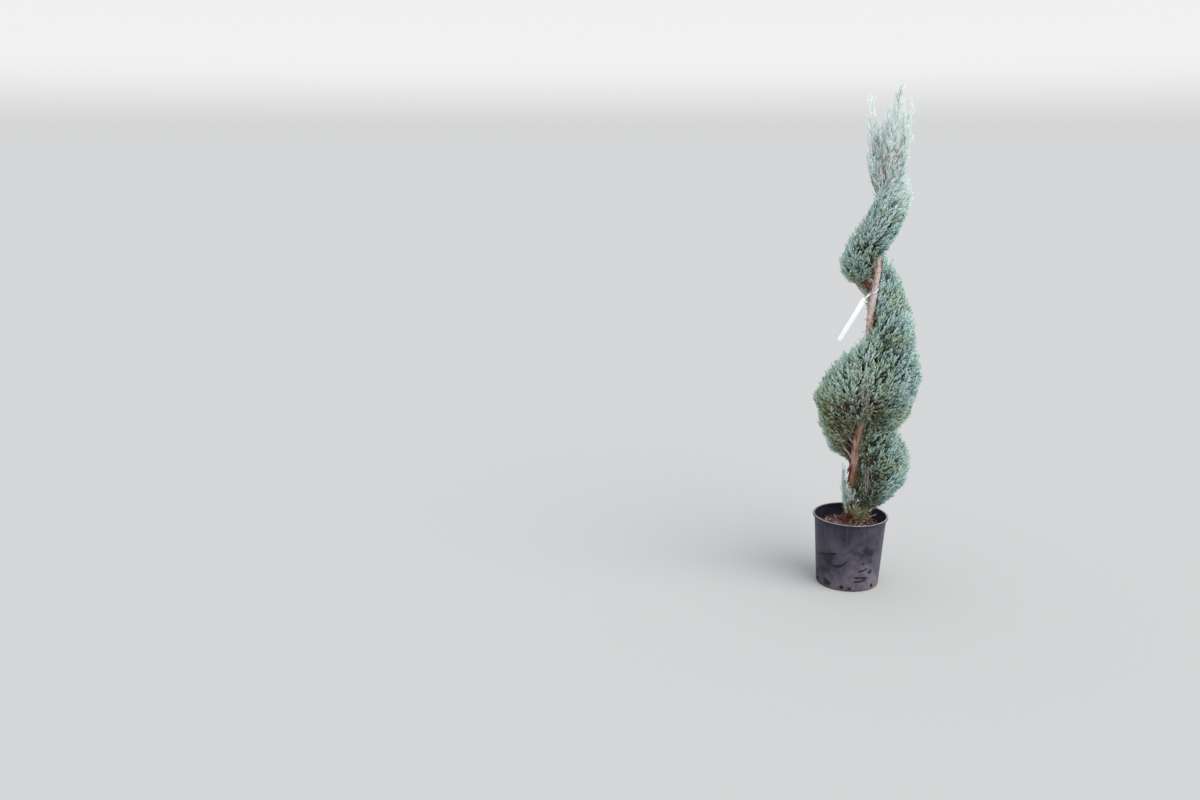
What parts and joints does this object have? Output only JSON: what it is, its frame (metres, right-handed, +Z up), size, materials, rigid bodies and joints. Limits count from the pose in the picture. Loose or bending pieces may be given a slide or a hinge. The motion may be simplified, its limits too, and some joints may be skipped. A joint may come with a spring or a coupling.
{
  "type": "spiral topiary",
  "caption": "Blue-grey juniper clipped as an open right-handed spiral round its bare trunk, with a feathery tip, in a round black nursery pot filled with bark mix.",
  "frame": {"origin": "centre of the flat underside of the pot, on the surface that the plant stands on", "axes": "+Z up the trunk; -Y towards the side from which the bare trunk shows in two gaps, as in the picture; +X to the right seen from there"},
  "size_m": [0.3885, 0.4092, 1.904],
  "materials": {
    "pot": "satin",
    "potting_mix": "matte",
    "bark": "matte",
    "foliage": "matte",
    "tag": "satin"
  },
  "bodies": {
    "root": {"pot": "pot", "potting_mix": "potting_mix", "trunk": "bark", "foliage_low_right": "foliage", "foliage_low_back": "foliage", "foliage_low_left": "foliage", "foliage_mid_front": "foliage", "foliage_mid_right": "foliage", "foliage_mid_back": "foliage", "foliage_high_left": "foliage", "foliage_high_front": "foliage", "foliage_high_right": "foliage", "plume_left": "foliage", "plume_right": "foliage", "plume_back": "foliage", "plume_front": "foliage", "plume_leader": "foliage", "foliage_foot": "foliage", "foliage_sprig": "foliage", "bough_low_right": "bark", "bough_low_back": "bark", "bough_low_left_back": "bark", "bough_low_left_under": "bark", "bough_low_left_over": "bark", "bough_mid_front": "bark", "bough_mid_back": "bark", "bough_high_back": "bark", "bough_high_left": "bark", "bough_high_front": "bark", "bough_high_right": "bark", "bough_top_back": "bark", "bough_top_left": "bark", "tag": "tag"}
  },
  "joints": []
}
